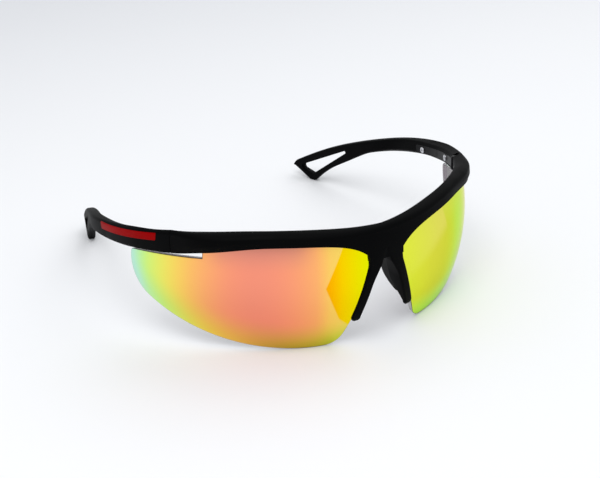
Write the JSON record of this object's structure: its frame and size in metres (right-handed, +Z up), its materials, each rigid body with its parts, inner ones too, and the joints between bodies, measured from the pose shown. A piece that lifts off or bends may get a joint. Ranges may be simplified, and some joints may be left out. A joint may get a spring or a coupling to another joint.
{
  "type": "sports sunglasses",
  "caption": "Wraparound half-frame sports sunglasses with mirrored lenses in a grooved brow, nose legs with soft pads, and folding temples with forked ends.",
  "frame": {"origin": "under the middle of the footprint, on the surface that the lens bottoms and the temple toes stand on", "axes": "+X towards the wearer's left, -Y the way the lenses face, +Z up"},
  "size_m": [0.1506, 0.1534, 0.0475],
  "materials": {
    "frame_black": "soft-touch matte",
    "lens_mirror": "multilayer mirror",
    "pad_rubber": "matte",
    "hinge_black": "satin",
    "screw_steel": "bright",
    "strip_red": "gloss"
  },
  "bodies": {
    "front": {"front_frame": "frame_black", "lens_right": "lens_mirror", "lens_left": "lens_mirror", "nose_pad_right": "pad_rubber", "nose_pad_left": "pad_rubber", "hinge_front_right": "hinge_black", "hinge_front_left": "hinge_black", "front_screw_right": "screw_steel", "front_screw_left": "screw_steel", "hinge_pin_right": "screw_steel", "hinge_pin_left": "screw_steel"},
    "right_temple": {"temple_right": "frame_black", "hinge_temple_right": "hinge_black", "temple_screws_right": "screw_steel", "accent_strip_right": "strip_red"},
    "left_temple": {"temple_left": "frame_black", "hinge_temple_left": "hinge_black", "temple_screws_left": "screw_steel", "accent_strip_left": "strip_red"}
  },
  "joints": [
    {"name": "right_temple_fold", "type": "hinge", "parent": "front", "child": "right_temple", "pos_m": [-0.06239, -0.03552, 0.04125], "axis": [0, 0, -1], "range_deg": [0, 81]},
    {"name": "left_temple_fold", "type": "hinge", "parent": "front", "child": "left_temple", "pos_m": [0.06239, -0.03552, 0.04125], "axis": [0, 0, 1], "range_deg": [0, 90]}
  ]
}
